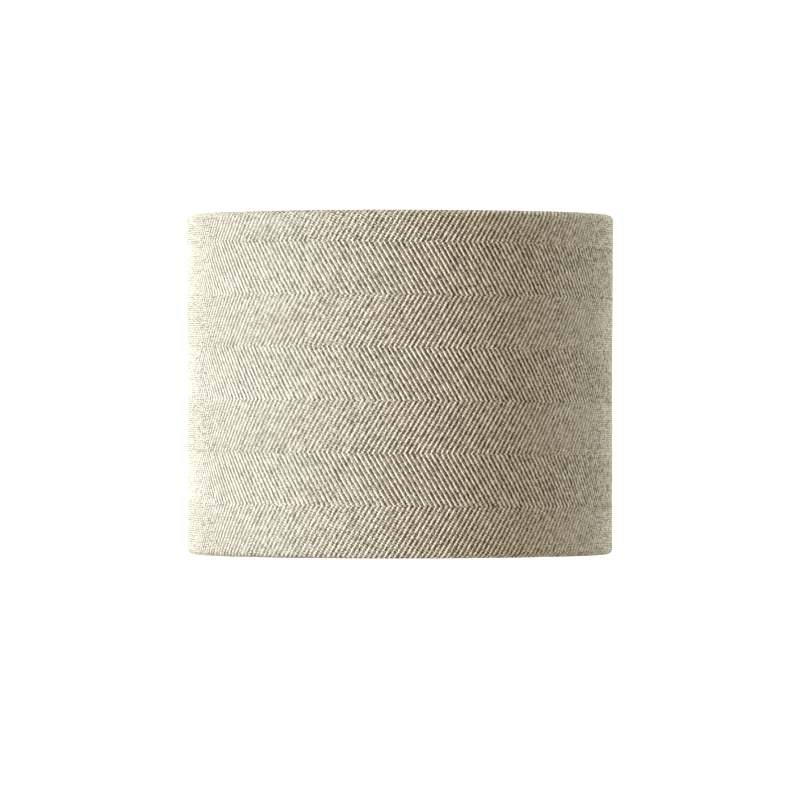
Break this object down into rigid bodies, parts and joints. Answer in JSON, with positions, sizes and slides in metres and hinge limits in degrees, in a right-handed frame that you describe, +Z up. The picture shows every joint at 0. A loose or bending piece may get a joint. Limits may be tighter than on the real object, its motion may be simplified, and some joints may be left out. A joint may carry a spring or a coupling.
{
  "type": "drum lamp shade",
  "caption": "Straight drum lamp shade: herringbone cloth on a rigid liner, rolled round wire rings, with a tilting gimbal fitter on spokes and a lift-out reducer ring.",
  "frame": {"origin": "centre of the drum, on the surface that the bottom rim stands on", "axes": "+Z up along the drum's axis, +X along the gimbal's pivots, -Y towards the front, with the cover's seam at the back left"},
  "size_m": [0.25, 0.25, 0.2],
  "materials": {
    "herringbone_fabric": "matt cream and brown herringbone weave",
    "liner_sheet": "satin white",
    "clear_tape": "clear, slightly yellow",
    "white_coated_steel": "white powder coat",
    "zinc_plated_steel": "bright zinc",
    "white_nylon": "moulded, satin"
  },
  "bodies": {
    "shade": {"fabric_cover": "herringbone_fabric", "liner_panel": "liner_sheet", "seam_tape": "clear_tape", "top_ring": "white_coated_steel", "bottom_ring": "white_coated_steel", "top_ring_tape": "clear_tape", "bottom_ring_tape": "clear_tape", "spoke_1": "white_coated_steel", "spoke_2": "white_coated_steel", "spoke_3": "white_coated_steel", "gimbal_hoop": "white_coated_steel", "pivot_rivet_right": "zinc_plated_steel", "pivot_rivet_left": "zinc_plated_steel", "pivot_washer_right": "white_nylon", "pivot_washer_left": "white_nylon"},
    "fitter": {"fitter_ring": "white_coated_steel"},
    "reducer": {"reducer_ring": "white_nylon"}
  },
  "joints": [
    {"name": "gimbal_tilt", "type": "hinge", "parent": "shade", "child": "fitter", "pos_m": [0, 0, 0.176], "axis": [1, 0, 0], "continuous": true},
    {"name": "reducer_lift", "type": "slide", "parent": "fitter", "child": "reducer", "axis": [0, 0, 1], "range_m": [0, 0.015]}
  ]
}
